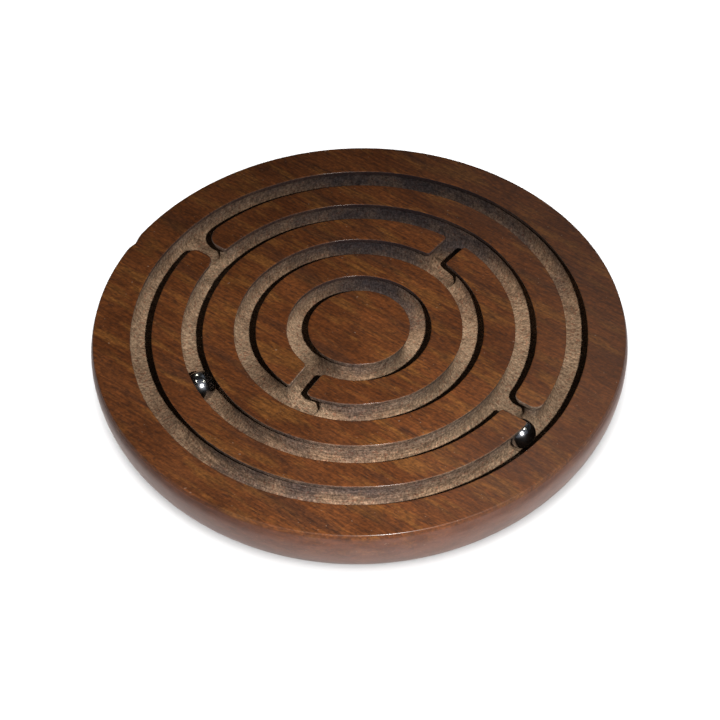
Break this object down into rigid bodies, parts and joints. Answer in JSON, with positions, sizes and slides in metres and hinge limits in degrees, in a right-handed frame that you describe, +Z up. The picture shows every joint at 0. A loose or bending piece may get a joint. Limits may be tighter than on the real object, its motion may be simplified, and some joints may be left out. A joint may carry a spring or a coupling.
{
  "type": "tilt maze game",
  "caption": "Round hardwood tilt maze: turned disc with concentric undercut ball tracks joined by gates, holding captive steel balls that are rolled by tilting the board.",
  "frame": {"origin": "centre of the flat underside", "axes": "+Z up out of the face with the tracks, +Y towards the back of the board as seen in the rest view, +X to the right"},
  "size_m": [0.116, 0.116, 0.014],
  "materials": {
    "lacquered_hardwood": "clear gloss lacquer over reddish brown hardwood, bare wood inside the tracks",
    "polished_steel": "polished"
  },
  "bodies": {
    "board": {"maze_board": "lacquered_hardwood"},
    "ring_ball": {"ring_ball": "polished_steel"},
    "gate_ball": {"gate_ball": "polished_steel"}
  },
  "joints": [
    {"name": "ring_ball_orbit", "type": "hinge", "parent": "board", "child": "ring_ball", "pos_m": [0, 0, 0.00905], "axis": [0, 0, 1], "continuous": true},
    {"name": "gate_ball_crossing", "type": "slide", "parent": "board", "child": "gate_ball", "axis": [0.7755, -0.6314, 0], "range_m": [-0.007, 0.004]}
  ]
}
